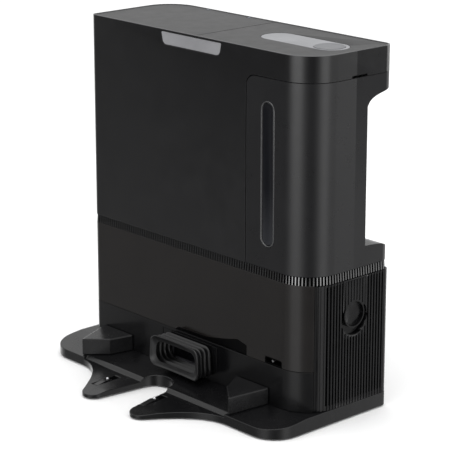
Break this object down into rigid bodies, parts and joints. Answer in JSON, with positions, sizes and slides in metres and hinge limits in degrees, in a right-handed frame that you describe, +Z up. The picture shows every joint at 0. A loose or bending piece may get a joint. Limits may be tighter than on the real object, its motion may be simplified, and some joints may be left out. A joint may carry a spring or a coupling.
{
  "type": "robot vacuum docking station",
  "caption": "Tall floor-standing dock that charges a robot vacuum, sucks out its dust and refills its water, with dust bin, water tank, filter door and docking tray.",
  "frame": {"origin": "on the floor under the middle of the bounding box", "axes": "+X to the right seen from the docking side, +Y to the back wall, +Z up"},
  "size_m": [0.448, 0.2714, 0.4702],
  "materials": {
    "charcoal": "fine satin grain",
    "charcoal_warm": "fine satin grain",
    "tray_grey": "fine matte grain",
    "ring_black": "semi-gloss ribs",
    "tab_grey": "satin",
    "inlay_grey": "satin",
    "rubber": "matte rubber",
    "gloss_black": "polished",
    "smoked_clear": "smoked, polished",
    "steel": "smooth steel",
    "inner_grey": "moulded, matte",
    "filter_white": "pleated fibre",
    "motor_metal": "zinc plated",
    "board_green": "solder mask",
    "hose_clear": "silicone"
  },
  "bodies": {
    "base": {"front_cover": "charcoal", "rear_cover": "charcoal", "lower_rear_shell": "charcoal", "control_deck": "charcoal", "mid_front_panel": "charcoal_warm", "base_tray": "tray_grey", "guide_block_left": "tray_grey", "guide_block_right": "tray_grey", "base_front_panel": "tray_grey", "port_panel": "tray_grey", "ribbed_ring": "ring_black", "status_inlay": "inlay_grey", "rubber_foot_front_left": "rubber", "rubber_foot_front_right": "rubber", "rubber_foot_rear_left": "rubber", "rubber_foot_rear_right": "rubber", "port_bellows": "rubber", "sensor_window": "gloss_black", "nozzle_pocket": "gloss_black", "mains_inlet": "gloss_black", "cover_screw_front_left": "steel", "cover_screw_front_right": "steel", "cover_screw_rear_left": "steel", "cover_screw_rear_right": "steel", "button_spring": "steel", "bottom_cover": "inner_grey", "inner_frame": "inner_grey", "intake_duct": "inner_grey", "motor_housing": "inner_grey", "water_pump": "inner_grey", "power_supply": "inner_grey", "tank_coupling": "inner_grey", "hepa_filter": "filter_white", "bin_filter": "filter_white", "suction_motor": "motor_metal", "circuit_board": "board_green", "control_board": "board_green", "tank_hose": "hose_clear", "nozzle_hose": "hose_clear"},
    "bin": {"dust_bin": "smoked_clear", "lid_hinge_pin": "steel"},
    "lid": {"bin_lid": "charcoal"},
    "tab": {"release_tab": "tab_grey"},
    "button": {"control_button": "inlay_grey"},
    "tank": {"water_tank": "charcoal", "tank_window": "smoked_clear", "tank_window_bezel": "tab_grey", "valve_spring": "steel"},
    "cap": {"tank_cap": "inner_grey"},
    "valve": {"tank_valve": "rubber"},
    "door": {"side_grille": "charcoal"},
    "latch": {"filter_latch": "charcoal"},
    "lip": {"port_lip": "rubber"},
    "contact_left": {"contact_lever_left": "tray_grey", "charging_contact_left": "steel"},
    "contact_right": {"contact_lever_right": "tray_grey", "charging_contact_right": "steel"},
    "flap": {"port_flap": "gloss_black"},
    "impeller": {"impeller": "inner_grey"},
    "nozzle": {"refill_nozzle": "steel"}
  },
  "joints": [
    {"name": "bin_lift", "type": "slide", "parent": "base", "child": "bin", "axis": [0, 0, 1], "range_m": [0, 0.25]},
    {"name": "lid_hinge", "type": "hinge", "parent": "bin", "child": "lid", "pos_m": [-0.07, 0.13015, 0.4684], "axis": [-1, 0, 0], "range_deg": [0, 85]},
    {"name": "tab_press", "type": "slide", "parent": "base", "child": "tab", "axis": [0, 1, 0], "range_m": [0, 0.002], "stiffness_N_per_m": 800},
    {"name": "button_press", "type": "slide", "parent": "base", "child": "button", "axis": [0, 0, -1], "range_m": [0, 0.0012], "stiffness_N_per_m": 900, "deforming": ["button_spring"]},
    {"name": "tank_slide", "type": "slide", "parent": "base", "child": "tank", "axis": [1, 0, 0], "range_m": [0, 0.14]},
    {"name": "cap_turn", "type": "hinge", "parent": "tank", "child": "cap", "pos_m": [0.156, 0.056, 0.433], "axis": [0, 0, 1], "range_deg": [0, 90]},
    {"name": "valve_slide", "type": "slide", "parent": "tank", "child": "valve", "axis": [1, 0, 0], "range_m": [0, 0.004], "stiffness_N_per_m": 300, "deforming": ["valve_spring"]},
    {"name": "door_hinge", "type": "hinge", "parent": "base", "child": "door", "pos_m": [0.2238, 0.0738, 0.0206], "axis": [0, 1, 0], "range_deg": [0, 80]},
    {"name": "latch_slide", "type": "slide", "parent": "door", "child": "latch", "axis": [0, 0, -1], "range_m": [0, 0.004], "stiffness_N_per_m": 400},
    {"name": "lip_press", "type": "slide", "parent": "base", "child": "lip", "axis": [0, 1, 0], "range_m": [0, 0.008], "stiffness_N_per_m": 250, "deforming": ["port_bellows"]},
    {"name": "contact_left_press", "type": "hinge", "parent": "base", "child": "contact_left", "pos_m": [-0.0665, -0.107, 0.0065], "axis": [-1, 0, 0], "range_deg": [0, 5], "stiffness_Nm_per_rad": 0.6},
    {"name": "contact_right_press", "type": "hinge", "parent": "base", "child": "contact_right", "pos_m": [0.0285, -0.107, 0.0065], "axis": [-1, 0, 0], "range_deg": [0, 5], "stiffness_Nm_per_rad": 0.6},
    {"name": "flap_hinge", "type": "hinge", "parent": "base", "child": "flap", "pos_m": [0.006, -0.00055, 0.062], "axis": [1, 0, 0], "range_deg": [0, 60], "stiffness_Nm_per_rad": 0.01},
    {"name": "impeller_spin", "type": "hinge", "parent": "base", "child": "impeller", "pos_m": [0.09, 0.085, 0.135], "axis": [0, 0, 1], "continuous": true},
    {"name": "nozzle_press", "type": "slide", "parent": "base", "child": "nozzle", "axis": [0, 1, 0], "range_m": [0, 0.002], "stiffness_N_per_m": 500}
  ]
}
